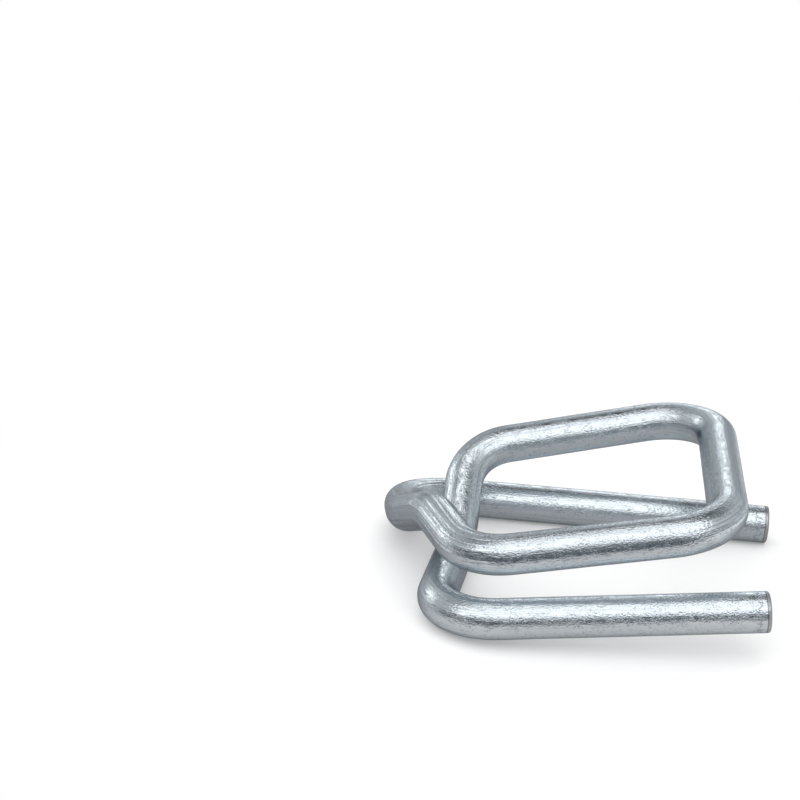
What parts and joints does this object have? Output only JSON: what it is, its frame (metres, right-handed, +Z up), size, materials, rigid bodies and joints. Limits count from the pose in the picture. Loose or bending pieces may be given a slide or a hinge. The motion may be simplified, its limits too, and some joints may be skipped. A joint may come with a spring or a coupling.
{
  "type": "strapping buckle",
  "caption": "Wire strapping buckle: round galvanised wire bent into a raised loop, a crossbar that the wire crosses over, and open prongs that take the strap ends.",
  "frame": {"origin": "on the surface that the buckle lies on, at the middle of its box", "axes": "+X along the prongs towards their cut tips, +Y from prong 1 towards prong 2, +Z up"},
  "size_m": [0.036, 0.0306, 0.0135],
  "materials": {
    "zinc_wire": "bright galvanised, drawn along the wire"
  },
  "bodies": {
    "root": {"buckle_wire": "zinc_wire"}
  },
  "joints": []
}
